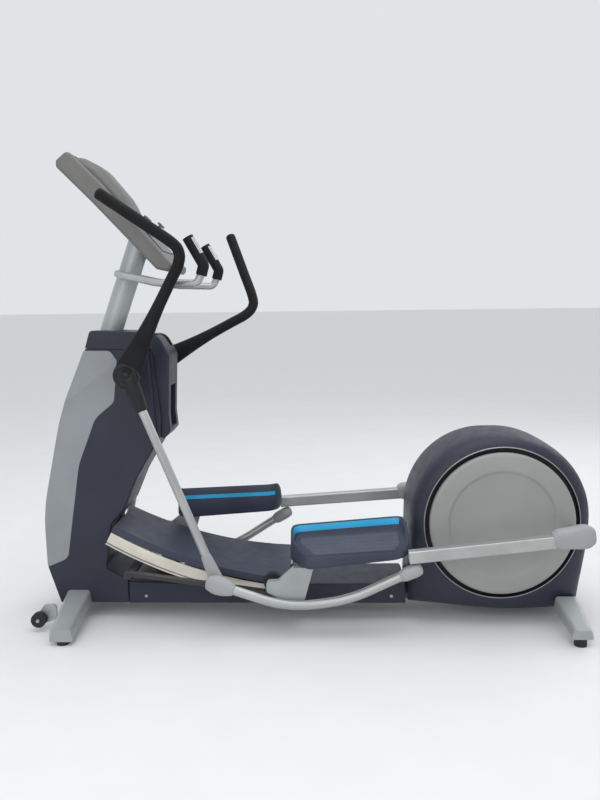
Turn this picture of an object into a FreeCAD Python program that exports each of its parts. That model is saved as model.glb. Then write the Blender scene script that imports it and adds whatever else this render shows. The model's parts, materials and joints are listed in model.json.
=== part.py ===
"""Elliptical trainer with a rear crank drive and a front ramp, one STEP file per sub-part.

Units are millimetres. +X points from the console end to the drive end, +Z up, and
-Y is the left hand of someone who stands on the foot trays facing the console.
The floor is z = 0. Shapes are drawn about the crank's own datum and shifted along X
by origin_shift, so that the whole machine is centred on the origin.
"""
import math
import os

import FreeCAD, Part
from FreeCAD import Placement, Rotation, Vector

SIZES = {
    # whole machine
    "origin_shift": -21.64,
    "wall": 4.0,
    # crank and foot arms
    "crank_x": 732.0,
    "crank_height": 396.0,
    "crank_radius": 245.0,
    "crank_angle": -3.2,
    "arm_offset": 287.0,
    "arm_width": 38.0,
    "arm_depth": 46.0,
    "arm_slope": 6.2,
    "arm_tilt": 2.2,
    "arm_length": 545.0,
    "pin_diameter": 24.0,
    "disc_radius": 268.0,
    "disc_thickness": 26.0,
    "disc_offset": 177.0,
    "pulley_radius": 150.0,
    "rotor_radius": 62.0,
    "rotor_x": 478.0,
    "rotor_height": 190.0,
    "roller_x": -118.0,
    "roller_height": 190.0,
    "roller_radius": 34.0,
    "roller_offset": 211.0,
    "track_gap": 3.4,
    "track_inner": 199.5,
    "track_outer": 227.0,
    # handlebars and links
    "pivot_x": -630.0,
    "pivot_height": 964.0,
    "grip_radius": 20.0,
    "elbow_x": -322.0,
    "elbow_height": 205.0,
    "tube_radius": 16.0,
    "link_offset": 287.0,
    "link_radius": 17.0,
    "joint_x": 405.0,
    "joint_height": 262.0,
    # covers and structure
    "column_width": 208.0,
    "housing_width": 348.0,
    "base_width": 226.0,
    "beam_width": 60.0,
    "beam_height": 40.0,
    "beam_bottom": 72.0,
    "ramp_centre_x": 41.0,
    "ramp_centre_height": 1820.0,
    "ramp_radius": 1629.0,
    "ramp_front_x": -725.0,
    "ramp_rear_x": -62.0,
    "ramp_front_half": 135.0,
    "ramp_rear_half": 200.0,
    "cover_thickness": 26.0,
    "foot_reach": 352.0,
    "fixed_grip_offset": 190.0,
    "mast_length": 440.0,
    "mast_lean": 20.2,
    "console_width": 300.0,
    "console_tilt": 44.5,
    "console_top_x": -869.0,
    "console_top_height": 1731.0,
}

doc = FreeCAD.newDocument("elliptical_trainer")
sheet = doc.addObject("Spreadsheet::Sheet", "Sizes")
for row, (alias, value) in enumerate(SIZES.items(), start=1):
    sheet.set(f"A{row}", alias)
    sheet.set(f"B{row}", str(value))
    sheet.setAlias(f"B{row}", alias)
doc.recompute()

parts = []


def size(alias):
    """A value from the sheet."""
    return float(getattr(sheet, alias))


def sub_part(shape_object, label):
    """Name an object as a kept sub-part; the label has to be free."""
    shape_object.Label = label
    if shape_object.Label != label:
        raise RuntimeError(label + " is already taken by another object")
    parts.append(shape_object)
    return shape_object


def place(thing, move=Vector(), turn=Rotation()):
    """Shift a sub-part into the row frame after its own move and turn."""
    shift = Vector(size("origin_shift"), 0, 0)
    thing.Placement = Placement(shift + move, turn)


# ---------------------------------------------------------------- outlines
def rounded(corners):
    """Lines and tangent arcs of a closed outline of (x, z, corner radius)."""
    count = len(corners)
    ends = []
    for index, (x, z, radius) in enumerate(corners):
        corner = Vector(x, z, 0)
        before = (Vector(*corners[index - 1][:2], 0) - corner).normalize()
        after = (Vector(*corners[(index + 1) % count][:2], 0) - corner).normalize()
        half = before.getAngle(after) / 2
        if radius <= 0:
            ends.append((corner, None, corner))
            continue
        reach = radius / math.tan(half)
        bisector = (before + after).normalize()
        middle = corner + bisector * (radius / math.sin(half) - radius)
        ends.append((corner + before * reach, middle, corner + after * reach))
    pieces = []
    for index, (start, middle, finish) in enumerate(ends):
        if middle is not None:
            pieces.append(Part.Arc(start, middle, finish))
        following = ends[(index + 1) % count][0]
        if finish.distanceToPoint(following) > 1e-4:
            pieces.append(Part.LineSegment(finish, following))
    return pieces


def inset(corners, wall):
    """The same outline moved inwards by a wall thickness."""
    count = len(corners)
    area = sum(
        corners[i][0] * corners[(i + 1) % count][1] - corners[(i + 1) % count][0] * corners[i][1]
        for i in range(count)
    )
    turn = 1 if area > 0 else -1
    result = []
    for index, (x, z, radius) in enumerate(corners):
        corner = Vector(x, z, 0)
        before = (corner - Vector(*corners[index - 1][:2], 0)).normalize()
        after = (Vector(*corners[(index + 1) % count][:2], 0) - corner).normalize()
        normal_before = Vector(-before.y, before.x, 0) * turn
        normal_after = Vector(-after.y, after.x, 0) * turn
        bisector = normal_before + normal_after
        moved = corner + bisector * (wall / (1 + normal_before.dot(normal_after)))
        convex = before.cross(after).z * turn > 0
        result.append((moved.x, moved.y, max(radius - wall, 0) if convex else radius + wall))
    return result


def face_of(corners, y=0):
    """A face in a plane of constant y with the given outline."""
    edges = [piece.toShape() for piece in rounded(corners)]
    face = Part.Face(Part.Wire(Part.__sortEdges__(edges)))
    face.rotate(Vector(), Vector(1, 0, 0), 90)
    face.translate(Vector(0, y, 0))
    return face


# ---------------------------------------------------------------- PartDesign helpers
def new_body(name):
    return doc.addObject("PartDesign::Body", name)


def plane_of(body, role):
    return [item for item in body.Origin.OriginFeatures if item.Role == role][0]


def sketch_on(body, role, pieces, name):
    """A sketch on one of the body's own origin planes."""
    sketch = body.newObject("Sketcher::SketchObject", name)
    sketch.AttachmentSupport = [(plane_of(body, role), "")]
    sketch.MapMode = "FlatFace"
    for piece in pieces:
        sketch.addGeometry(piece, False)
    return sketch


def padded(name, pieces, length, role="XZ_Plane", symmetric=True, reverse=False):
    """A body holding one pad; length is an expression on the sheet."""
    body = new_body(name)
    sketch = sketch_on(body, role, pieces, name + "_sketch")
    feature = body.newObject("PartDesign::Pad", name + "_pad")
    feature.Profile = sketch
    feature.SideType = "Symmetric" if symmetric else "One side"
    feature.Reversed = reverse
    feature.setExpression("Length", length)
    return body


def pocketed(body, pieces, length, role="XZ_Plane", symmetric=False, reverse=False, tag="pocket"):
    """Cut a pocket in a body and check that it took material away."""
    doc.recompute()
    before = body.Shape.Volume
    sketch = sketch_on(body, role, pieces, body.Name + "_" + tag + "_sketch")
    feature = body.newObject("PartDesign::Pocket", body.Name + "_" + tag)
    feature.Profile = sketch
    feature.SideType = "Symmetric" if symmetric else "One side"
    feature.Reversed = reverse
    feature.setExpression("Length", length)
    doc.recompute()
    if body.Shape.Volume > before - 1:
        raise RuntimeError(body.Name + " pocket cut nothing")
    return body


def circle(x, z, radius):
    return Part.Circle(Vector(x, z, 0), Vector(0, 0, 1), radius)


def rim_rounded(body, y_side, radius, low=-1e4, high=1e4):
    """Round the rim of the flat face furthest to one side in Y, between two heights."""
    doc.recompute()
    faces = body.Shape.Faces
    flat = [i for i, face in enumerate(faces) if face.normalAt(0, 0).y * y_side > 0.99]
    best = max(flat, key=lambda i: (round(faces[i].CenterOfMass.y * y_side, 2), faces[i].Area))
    chosen = []
    for edge in faces[best].Edges:
        if low < edge.CenterOfMass.z < high:
            number = [i for i, other in enumerate(body.Shape.Edges) if other.isSame(edge)][0]
            chosen.append("Edge%d" % (number + 1))
    base = body.Tip
    feature = body.newObject("PartDesign::Fillet", body.Name + "_rim_" + ("right" if y_side > 0 else "left"))
    feature.Base = (base, chosen)
    feature.Radius = radius
    doc.recompute()
    if "Invalid" in feature.State:
        raise RuntimeError(body.Name + " rim failed")
    return body


def half_shell(name, corners, side, half_width, rim, low, high):
    """One hollow half of a two-part casing, open at the middle plane."""
    outward = side > 0
    body = padded(name, rounded(corners), half_width, symmetric=False, reverse=outward)
    rim_rounded(body, side, rim, low, high)
    depth = half_width + " - Sizes.wall"
    pocketed(body, rounded(inset(corners, size("wall"))), depth, reverse=not outward, tag="hollow")
    return body


# ---------------------------------------------------------------- primitives
def box(name, length, width, height, corner):
    """A Part box; each size is an expression, the corner is a vector."""
    item = doc.addObject("Part::Box", name)
    for prop, expression in (("Length", length), ("Width", width), ("Height", height)):
        item.setExpression(prop, str(expression))
    item.Placement.Base = corner
    return item


def disc(name, radius, length, centre, cone_top=None):
    """A cylinder or cone along +Y, centred on a point."""
    if cone_top is None:
        item = doc.addObject("Part::Cylinder", name)
        item.setExpression("Radius", str(radius))
    else:
        item = doc.addObject("Part::Cone", name)
        item.setExpression("Radius1", str(radius))
        item.setExpression("Radius2", str(cone_top))
    item.setExpression("Height", str(length))
    doc.recompute()
    start = centre - Vector(0, float(item.Height) / 2, 0)
    item.Placement = Placement(start, Rotation(Vector(1, 0, 0), -90))
    return item


def fused(name, items):
    result = doc.addObject("Part::MultiFuse", name)
    result.Shapes = items
    return result


def grouped(name, items):
    result = doc.addObject("Part::Compound", name)
    result.Links = items
    return result


def cut(name, base, tool):
    result = doc.addObject("Part::Cut", name)
    result.Base = base
    result.Tool = tool
    return result


def shaped(label, shape):
    """A sub-part whose shape is set here, for sweeps along a path out of one plane."""
    item = doc.addObject("Part::Feature", label)
    item.Shape = shape
    return item


def path_wire(points, radii):
    """A wire of straight runs joined by tangent arcs; radii belong to the inner points."""
    edges = []
    start = points[0]
    for before, corner, after, radius in zip(points, points[1:], points[2:], radii):
        back = (before - corner).normalize()
        ahead = (after - corner).normalize()
        half = back.getAngle(ahead) / 2
        reach = radius / math.tan(half)
        first = corner + back * reach
        last = corner + ahead * reach
        middle = corner + (back + ahead).normalize() * (radius / math.sin(half) - radius)
        edges.append(Part.LineSegment(start, first).toShape())
        edges.append(Part.Arc(first, middle, last).toShape())
        start = last
    edges.append(Part.LineSegment(start, points[-1]).toShape())
    return Part.Wire(edges)


def tube_along(points, radii, radius):
    """A round bar swept along a path of straight runs and arcs."""
    wire = path_wire(points, radii)
    direction = (points[1] - points[0]).normalize()
    profile = Part.Wire([Part.Circle(points[0], direction, radius).toShape()])
    return wire.makePipeShell([profile], True, False)


def turned_about(point, angle):
    """A placement that turns about a Y axis through a point."""
    turn = Rotation(Vector(0, 1, 0), angle)
    return Placement(point - turn.multVec(point), turn)


# ---------------------------------------------------------------- linkage
CRANK = Vector(size("crank_x"), 0, size("crank_height"))
ARM_RADIANS = math.radians(size("crank_angle"))
PIN_REACH = Vector(math.cos(ARM_RADIANS), 0, math.sin(ARM_RADIANS)) * size("crank_radius")
PIN_LEFT = CRANK + PIN_REACH
PIN_RIGHT = CRANK - PIN_REACH
POLE_REACH = size("crank_radius") / math.tan(math.radians(size("arm_tilt")) / 2)
POLE = CRANK + Vector(-PIN_REACH.z, 0, PIN_REACH.x).normalize() * POLE_REACH
PIVOT = Vector(size("pivot_x"), 0, size("pivot_height"))
ELBOW = Vector(size("elbow_x"), 0, size("elbow_height"))
JOINT = Vector(size("joint_x"), 0, size("joint_height"))
ROLLER = Vector(size("roller_x"), 0, size("roller_height"))
SIDES = (("left", -1), ("right", 1))


def arm_pose(side):
    """Left arm as drawn; right arm half a crank turn on, at the other end of its travel."""
    return turned_about(POLE, size("arm_tilt")) if side > 0 else Placement()


def swing_for(length):
    """Handlebar swing that keeps the link's length when the arm goes to its far end."""
    far_joint = turned_about(POLE, size("arm_tilt")).multVec(JOINT)
    low, high = 20.0, 45.0
    for _ in range(40):
        middle = (low + high) / 2
        elbow = turned_about(PIVOT, middle).multVec(ELBOW)
        if elbow.distanceToPoint(far_joint) < length:
            low = middle
        else:
            high = middle
    return (low + high) / 2


LINK_LENGTH = ELBOW.distanceToPoint(JOINT)
SWING = swing_for(LINK_LENGTH)
FAR_ELBOW = turned_about(PIVOT, SWING).multVec(ELBOW)
FAR_JOINT = turned_about(POLE, size("arm_tilt")).multVec(JOINT)


def handle_pose(side):
    return turned_about(PIVOT, SWING) if side > 0 else Placement()


def heading(vector):
    return math.degrees(math.atan2(vector.z, vector.x))


LINK_TURN = heading(JOINT - ELBOW) - heading(FAR_JOINT - FAR_ELBOW)


def link_pose(side):
    """The link's own turn about its front joint, after that joint has swung."""
    if side < 0:
        return Placement()
    turn = Rotation(Vector(0, 1, 0), LINK_TURN)
    return Placement(FAR_ELBOW - turn.multVec(ELBOW), turn)


def pose(item, placement):
    """Put a sub-part drawn in the left hand rest pose where its side needs it."""
    placement = Placement(Vector(size("origin_shift"), 0, 0), Rotation()) * placement
    item.Placement = placement * item.Placement
    return item


# ---------------------------------------------------------------- frame and feet
def frame():
    bottom = size("beam_bottom")
    top = bottom + size("beam_height")
    half = size("beam_width") / 2
    spine = box("spine", 1960, "Sizes.beam_width", "Sizes.beam_height", Vector(-950, -half, bottom))
    rear = box("rear_member", 60, 334, "Sizes.beam_height", Vector(950, -167, bottom))
    front = box("front_member", 60, 196, "Sizes.beam_height", Vector(-925, -98, bottom))
    posts = []
    for tag, side in SIDES:
        plate_outline = [
            (CRANK.x - 170, top, 0), (CRANK.x - 45, CRANK.z + 20, 40),
            (CRANK.x + 45, CRANK.z + 20, 40), (CRANK.x + 170, top, 0),
        ]
        plate = padded("stand_" + tag, rounded(plate_outline), "10")
        plate.Placement.Base = Vector(0, side * 70, 0)
        bearing = disc("bearing_" + tag, 42, 30, CRANK + Vector(0, side * 70, 0))
        foot = box("stand_foot_" + tag, 340, 75, 12, Vector(CRANK.x - 170, min(0, side * 75), top - 12))
        posts += [plate, bearing, foot]
    body = fused("frame_solid", [spine, rear, front] + posts)
    bore = disc("axle_bore", 16.0, 400, CRANK)
    sub_part(cut("frame", body, bore), "base_frame")
    place(parts[-1])

    post = new_body("column_post")
    section = [(-30, -25, 6), (30, -25, 6), (30, 25, 6), (-30, 25, 6)]
    sketch = sketch_on(post, "XY_Plane", rounded(section), "post_section")
    pad = post.newObject("PartDesign::Pad", "post_pad")
    pad.Profile = sketch
    pad.Length = 960
    hollow = [(-26, -21, 3), (26, -21, 3), (26, 21, 3), (-26, 21, 3)]
    pocketed(post, rounded(hollow), "960", role="XY_Plane", reverse=True)
    sub_part(post, "column_post")
    place(post, Vector(-866, 0, top + 8), Rotation(Vector(0, 1, 0), 8))


def foot_casting(name, inner, outer, side):
    """A tapered casting lofted from the beam end out to the floor pad."""
    wires = []
    for x_low, x_high, z_low, z_high, y in (inner, outer):
        corners = [(x_low, z_low, 6), (x_high, z_low, 6), (x_high - 6, z_high, 12), (x_low + 6, z_high, 12)]
        wires.append(face_of(corners, y * side).OuterWire)
    return Part.makeLoft(wires, True)


def feet():
    reach = size("foot_reach")
    front = [
        foot_casting("front", (-938, -838, 58, 112, 104.4), (-918, -832, 16, 62, reach), side)
        for _, side in SIDES
    ]
    rear = [
        foot_casting("rear", (930, 1020, 66, 116, 174.4), (940, 1016, 30, 64, reach), side)
        for _, side in SIDES
    ]
    for label, castings in (("front_feet", front), ("rear_feet", rear)):
        sub_part(shaped(label, Part.Compound(castings)), label)
        place(parts[-1])

    pads = []
    for tag, side in SIDES:
        for end, x, top in (("front", -875, 16), ("rear", 978, 30)):
            pad = disc("pad_%s_%s" % (end, tag), 22, 46, Vector())
            pad.Placement = Placement(Vector(x, side * (reach - 24), 0), Rotation())
            pad.setExpression("Height", str(top - 0.3))
            pads.append(pad)
    sub_part(grouped("levelling_pads", pads), "levelling_pads")
    place(parts[-1])

    brackets = []
    for tag, side in SIDES:
        outline = [
            (-940, 40, 4), (-940, 96, 14), (-985, 96, 14), (-1012, 58, 14), (-1012, 34, 10), (-985, 24, 8),
        ]
        arm = padded("bracket_" + tag, rounded(outline), "10")
        arm.Placement.Base = Vector(0, side * 205, 0)
        stem = disc("bracket_axle_" + tag, 6, 36, Vector(-1000, side * 228, 46))
        brackets.append(fused("bracket_solid_" + tag, [arm, stem]))
        wheel = disc("wheel_%s_tyre" % tag, 28, 22, Vector(-1000, side * 229, 46))
        bore = disc("wheel_%s_bore" % tag, 6.05, 40, Vector(-1000, side * 229, 46))
        sub_part(cut("transport_wheel_" + tag, wheel, bore), "transport_wheel_" + tag)
        place(parts[-1])
    sub_part(grouped("wheel_brackets", brackets), "wheel_brackets")
    place(parts[-1])


# ---------------------------------------------------------------- column
COLUMN = [
    (-962, 62, 0), (-1008, 210, 170), (-1010, 430, 700), (-925, 812, 900), (-818, 1054, 0),
    (-580, 1044, 0), (-556, 700, 60), (-640, 560, 150), (-692, 440, 60), (-748, 372, 24),
    (-764, 250, 80), (-778, 198, 26), (-690, 152, 10), (-690, 62, 0),
]


def column():
    for tag, side in SIDES:
        shell = half_shell("shroud_shell_" + tag, COLUMN, side, "Sizes.column_width / 2", 8, 63, 1040)
        gap = box("column_gap_" + tag, 20, 64, 60, Vector(-704, -32, 58))
        post_room = box("post_room_" + tag, 72, 54, 40, Vector(-772, -27, 1030))
        shaft_room = disc("shaft_room_" + tag, 16.4, 240, PIVOT)
        rooms = fused("column_rooms_" + tag, [gap, post_room, shaft_room])
        sub_part(cut("column_half_" + tag, shell, rooms), "column_shroud_" + tag)
        place(parts[-1])
    panel_outline = [
        (-1006, 204, 10), (-1008, 430, 700), (-923, 812, 900), (-822, 1047, 4), (-722, 1046, 26),
        (-697, 1008, 14), (-716, 850, 40), (-790, 790, 90), (-862, 610, 260), (-908, 330, 300),
        (-922, 240, 40),
    ]
    panels = []
    for tag, side in SIDES:
        panel = padded("panel_" + tag, rounded(panel_outline), "5")
        panel.Placement.Base = Vector(0, side * (size("column_width") / 2 + 2.8), 0)
        panels.append(panel)
    sub_part(grouped("column_panels", panels), "column_panels")
    place(parts[-1])

    cap_outline = [(-817, 1056, 3), (-797, 1122, 16), (-612, 1114, 10), (-606, 1047, 3)]
    cap = padded("cap_block", rounded(cap_outline), "Sizes.column_width")
    opening = box("cap_opening", 99, 74, 90, Vector(-792, -37, 1040))
    sub_part(cut("column_cap", cap, opening), "column_cap")
    place(parts[-1])

    tray_outline = [
        (-604, 1045.5, 0), (-604, 1106, 12), (-548, 1104, 46), (-505, 1030, 46), (-515, 800, 60),
        (-509, 735, 16), (-548, 692, 12), (-578, 1045.5, 0),
    ]
    tray = padded("tray_block", rounded(tray_outline), "168")
    rim_rounded(tray, 1, 8)
    rim_rounded(tray, -1, 8)
    cup = disc("tray_cup", 26, 160, Vector())
    cup.Placement = Placement(Vector(-545, 42, 1012), Rotation())
    phone_slot = box("tray_slot", 14, 70, 90, Vector(-570, -76, 1030))
    niche = box("tray_niche", 40, 90, 160, Vector(-538, -45, 748))
    tools = fused("tray_tools", [cup, phone_slot, niche])
    sub_part(cut("accessory_tray", tray, tools), "accessory_tray")
    place(parts[-1])


# ---------------------------------------------------------------- base and ramp
def base_covers():
    profile = [
        (-688, 64, 0), (-688, 150, 10), (-390, 138, 900), (386, 144, 10), (386, 64, 0),
    ]
    body = padded("base_cover", rounded(profile), "Sizes.base_width")
    rim_rounded(body, 1, 8, 66)
    rim_rounded(body, -1, 8, 66)
    hollow = [(-700, 60, 0), (-700, 144, 0), (-390, 131, 900), (400, 137, 0), (400, 60, 0)]
    pocketed(body, rounded(hollow), "Sizes.base_width - 2 * Sizes.wall", symmetric=True)
    sub_part(body, "base_cover")
    place(body)


def ramp_sector(name, inner, outer, width):
    """A slab that follows the ramp's curve between two radii."""
    centre = Vector(size("ramp_centre_x"), size("ramp_centre_height"), 0)
    angles = []
    for x in (size("ramp_front_x"), size("ramp_rear_x")):
        angles.append(math.asin((x - centre.x) / size("ramp_radius")))
    middle = sum(angles) / 2

    def at(radius, angle):
        return centre + Vector(math.sin(angle), -math.cos(angle), 0) * radius

    pieces = [
        Part.Arc(at(inner, angles[0]), at(inner, middle), at(inner, angles[1])),
        Part.LineSegment(at(inner, angles[1]), at(outer, angles[1])),
        Part.Arc(at(outer, angles[1]), at(outer, middle), at(outer, angles[0])),
        Part.LineSegment(at(outer, angles[0]), at(inner, angles[0])),
    ]
    return padded(name, pieces, width)


def ramp_plan(name, front_half, rear_half, thickness=None, side=0):
    """Plan shape that narrows to the front: whole width, or a strip along one edge."""
    front, rear = size("ramp_front_x") - 40, size("ramp_rear_x") + 40
    if side:
        corners = [
            (front, side * front_half, 0), (rear, side * rear_half, 0),
            (rear, side * (rear_half - thickness), 0), (front, side * (front_half - thickness), 0),
        ]
    else:
        corners = [
            (front, -front_half, 0), (rear, -rear_half, 0), (rear, rear_half, 0), (front, front_half, 0),
        ]
    return padded(name, rounded(corners), "700", role="XY_Plane", symmetric=False)


def common(name, first, second):
    result = doc.addObject("Part::MultiCommon", name)
    result.Shapes = [first, second]
    return result


def roller_tracks():
    """Straight tracks just under the chord of the rollers' path, with their supports."""
    far_roller = turned_about(POLE, size("arm_tilt")).multVec(ROLLER)
    run = far_roller - ROLLER
    slope = math.degrees(math.atan2(run.z, -run.x))
    incline = Placement(ROLLER, Rotation(Vector(0, 1, 0), slope))
    drop = size("roller_radius") + size("track_gap")
    inner, outer = size("track_inner"), size("track_outer")
    behind, length, thickness = 88, 642, 14
    for tag, side in SIDES:
        beam = box("track_" + tag, length, outer - inner, thickness, Vector())
        corner = Vector(behind - length, min(side * inner, side * outer), -drop - thickness)
        beam.Placement = incline * Placement(corner, Rotation())
        sub_part(pose(beam, Placement()), "roller_track_" + tag)
    member_top = -drop - thickness
    cross = box("member_front", 30, 2 * outer, 12, Vector())
    cross.Placement = incline * Placement(Vector(behind - length, -outer, member_top - 12), Rotation())
    members = [cross]
    base_side = size("base_width") / 2
    for tag, side in SIDES:
        bracket = box("member_rear_" + tag, 24, outer - base_side - 0.3, 12, Vector())
        corner = Vector(behind - 25, min(side * (base_side + 0.3), side * outer), member_top - 12)
        bracket.Placement = incline * Placement(corner, Rotation())
        members.append(bracket)
    sub_part(grouped("ramp_members", members), "ramp_members")
    place(parts[-1])


def ramp():
    front_half, rear_half = size("ramp_front_half"), size("ramp_rear_half")
    top = size("ramp_radius")
    under = top + size("cover_thickness")
    slab = ramp_sector("cover_slab", top, under, "420")
    cover = common("ramp_cover", slab, ramp_plan("cover_plan", front_half, rear_half))
    sub_part(cover, "ramp_cover")
    place(cover)
    rails = []
    for tag, side in SIDES:
        web = ramp_sector("web_slab_" + tag, under + 8, under + 50, "420")
        strip = ramp_plan("web_plan_" + tag, front_half - 4, rear_half - 4, 5, side)
        lip = ramp_sector("lip_slab_" + tag, under + 54, under + 58, "440")
        ledge = ramp_plan("lip_plan_" + tag, front_half + 2, rear_half + 2, 30, side)
        rails += [common("web_" + tag, web, strip), common("lip_" + tag, lip, ledge)]
    sub_part(grouped("ramp_rails", rails), "ramp_rails")
    place(parts[-1])

    roller_tracks()

    motor = disc("lift_motor_can", 30, 110, Vector(-550, 0, 210))
    screw = doc.addObject("Part::Cylinder", "lift_screw")
    screw.Radius = 9
    screw.Height = 78
    screw.Placement = Placement(Vector(-550, 0, 190), Rotation())
    gearbox = box("lift_gearbox", 90, 70, 40, Vector(-595, -35, 154))
    sub_part(fused("lift_actuator", [motor, screw, gearbox]), "lift_actuator")
    place(parts[-1])


# ---------------------------------------------------------------- drive
HOUSING = [
    (388, 66, 0), (404, 722, 316), (1077, 722, 316), (1070, 330, 300), (1036, 42, 0), (742, 40, 900),
]


def drive():
    for tag, side in SIDES:
        shell = half_shell("housing_shell_" + tag, HOUSING, side, "Sizes.housing_width / 2", 32, 66, 2000)
        opening = [circle(CRANK.x, CRANK.z, size("disc_radius") + 7)]
        pocketed(shell, opening, "Sizes.housing_width", reverse=side < 0, tag="opening")
        gap = box("housing_gap_" + tag, 20, 64, 60, Vector(378, -32, 58))
        sub_part(cut("housing_half_" + tag, shell, gap), "drive_housing_" + tag)
        place(parts[-1])

        rim = disc("disc_rim_" + tag, "Sizes.disc_radius", "Sizes.disc_thickness",
                   CRANK + Vector(0, side * size("disc_offset"), 0))
        dish = disc("disc_dish_" + tag, 203, 8,
                    CRANK + Vector(0, side * (size("disc_offset") + 13), 0))
        inside = disc("disc_inside_" + tag, size("disc_radius") - 5, 26,
                      CRANK + Vector(0, side * (size("disc_offset") - 9), 0))
        hub = disc("disc_hub_" + tag, 34, 22, CRANK + Vector(0, side * (size("disc_offset") - 2), 0))
        boss_at = CRANK + PIN_REACH * (-side) + Vector(0, side * (size("disc_offset") - 2), 0)
        boss = disc("disc_boss_" + tag, 20, 22, boss_at)
        shell_cut = cut("disc_shell_" + tag, cut("disc_face_" + tag, rim, dish), inside)
        solid = fused("disc_solid_" + tag, [shell_cut, hub, boss])
        pin_hole = disc("disc_pin_hole_" + tag, "Sizes.pin_diameter / 2 + 0.05", 80, boss_at)
        sub_part(cut("crank_disc_" + tag, solid, pin_hole), "crank_disc_" + tag)
        place(parts[-1])

    pieces = [disc("axle", 15.9, 300, CRANK)]
    for tag, side in SIDES:
        pin = CRANK + PIN_REACH * (-side)
        bar = box("crank_bar_" + tag, "Sizes.crank_radius", 22, 46, Vector())
        turn = -size("crank_angle") + (180 if side > 0 else 0)
        placed = Placement(CRANK + Vector(0, side * 141, 0), Rotation(Vector(0, 1, 0), turn))
        bar.Placement = placed * Placement(Vector(0, -11, -23), Rotation())
        eye = disc("crank_eye_" + tag, 30, 22, pin + Vector(0, side * 141, 0))
        boss = disc("crank_boss_" + tag, 36, 26, CRANK + Vector(0, side * 139, 0))
        pin_bar = disc("crank_pin_" + tag, "Sizes.pin_diameter / 2", 108, pin + Vector(0, side * 195, 0))
        pieces += [bar, eye, boss, pin_bar]
    sub_part(fused("crank_set", pieces), "crank_axle")
    place(parts[-1])

    wheel = disc("pulley_wheel", "Sizes.pulley_radius", 26, CRANK)
    bore = disc("pulley_bore", 16.0, 60, CRANK)
    windows = []
    for index in range(5):
        angle = math.radians(72 * index)
        spot = CRANK + Vector(math.cos(angle), 0, math.sin(angle)) * 90
        windows.append(disc("pulley_window_%d" % index, 30, 60, spot))
    sub_part(cut("pulley", wheel, fused("pulley_tools", [bore] + windows)), "crank_pulley")
    place(parts[-1])

    rotor_at = Vector(size("rotor_x"), 0, size("rotor_height"))
    rotor = fused("rotor_solid", [
        disc("rotor_mass", "Sizes.rotor_radius", 34, rotor_at + Vector(0, 38, 0)),
        disc("rotor_pulley", 24, 26, rotor_at),
        disc("rotor_shaft", 8, 100, rotor_at + Vector(0, 22, 0)),
    ])
    sub_part(rotor, "generator_rotor")
    place(rotor)
    case = disc("generator_case", size("rotor_radius") + 10, 50, rotor_at + Vector(0, 45, 0))
    room = disc("generator_room", size("rotor_radius") + 4, 42, rotor_at + Vector(0, 36, 0))
    foot = box("generator_foot", 60, 40, 20, rotor_at + Vector(-30, 31, -86))
    shaft_hole = disc("generator_hole", 8.1, 90, rotor_at + Vector(0, 45, 0))
    casing = fused("generator_outer", [case, foot])
    inner = fused("generator_tools", [room, shaft_hole])
    sub_part(cut("generator_casing", casing, inner), "generator_casing")
    place(parts[-1])

    belt_ring(rotor_at)


def belt_ring(rotor_at):
    """A flat belt round the two pulleys, with a small running clearance."""
    gap = 1.0
    big, small = size("pulley_radius") + gap, 24 + gap
    span = rotor_at - CRANK
    along = Vector(span.x, 0, span.z).normalize()
    lean = math.acos((big - small) / span.Length)
    heading_angle = math.atan2(along.z, along.x)

    def loop(extra):
        def at(centre, radius, angle):
            return centre + Vector(math.cos(angle), 0, math.sin(angle)) * (radius + extra)
        up, down = heading_angle + lean, heading_angle - lean
        back = heading_angle + math.pi
        return Part.Wire([
            Part.LineSegment(at(CRANK, big, up), at(rotor_at, small, up)).toShape(),
            Part.Arc(*[at(rotor_at, small, turn) for turn in (up, heading_angle, down)]).toShape(),
            Part.LineSegment(at(rotor_at, small, down), at(CRANK, big, down)).toShape(),
            Part.Arc(*[at(CRANK, big, turn) for turn in (down, back, up)]).toShape(),
        ])

    outer = Part.Face(loop(3)).extrude(Vector(0, 20, 0))
    inner = Part.Face(loop(0)).extrude(Vector(0, 20, 0))
    belt = outer.cut(inner)
    belt.translate(Vector(0, -10, 0))
    sub_part(shaped("drive_belt", belt), "drive_belt")
    place(parts[-1])


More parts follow.
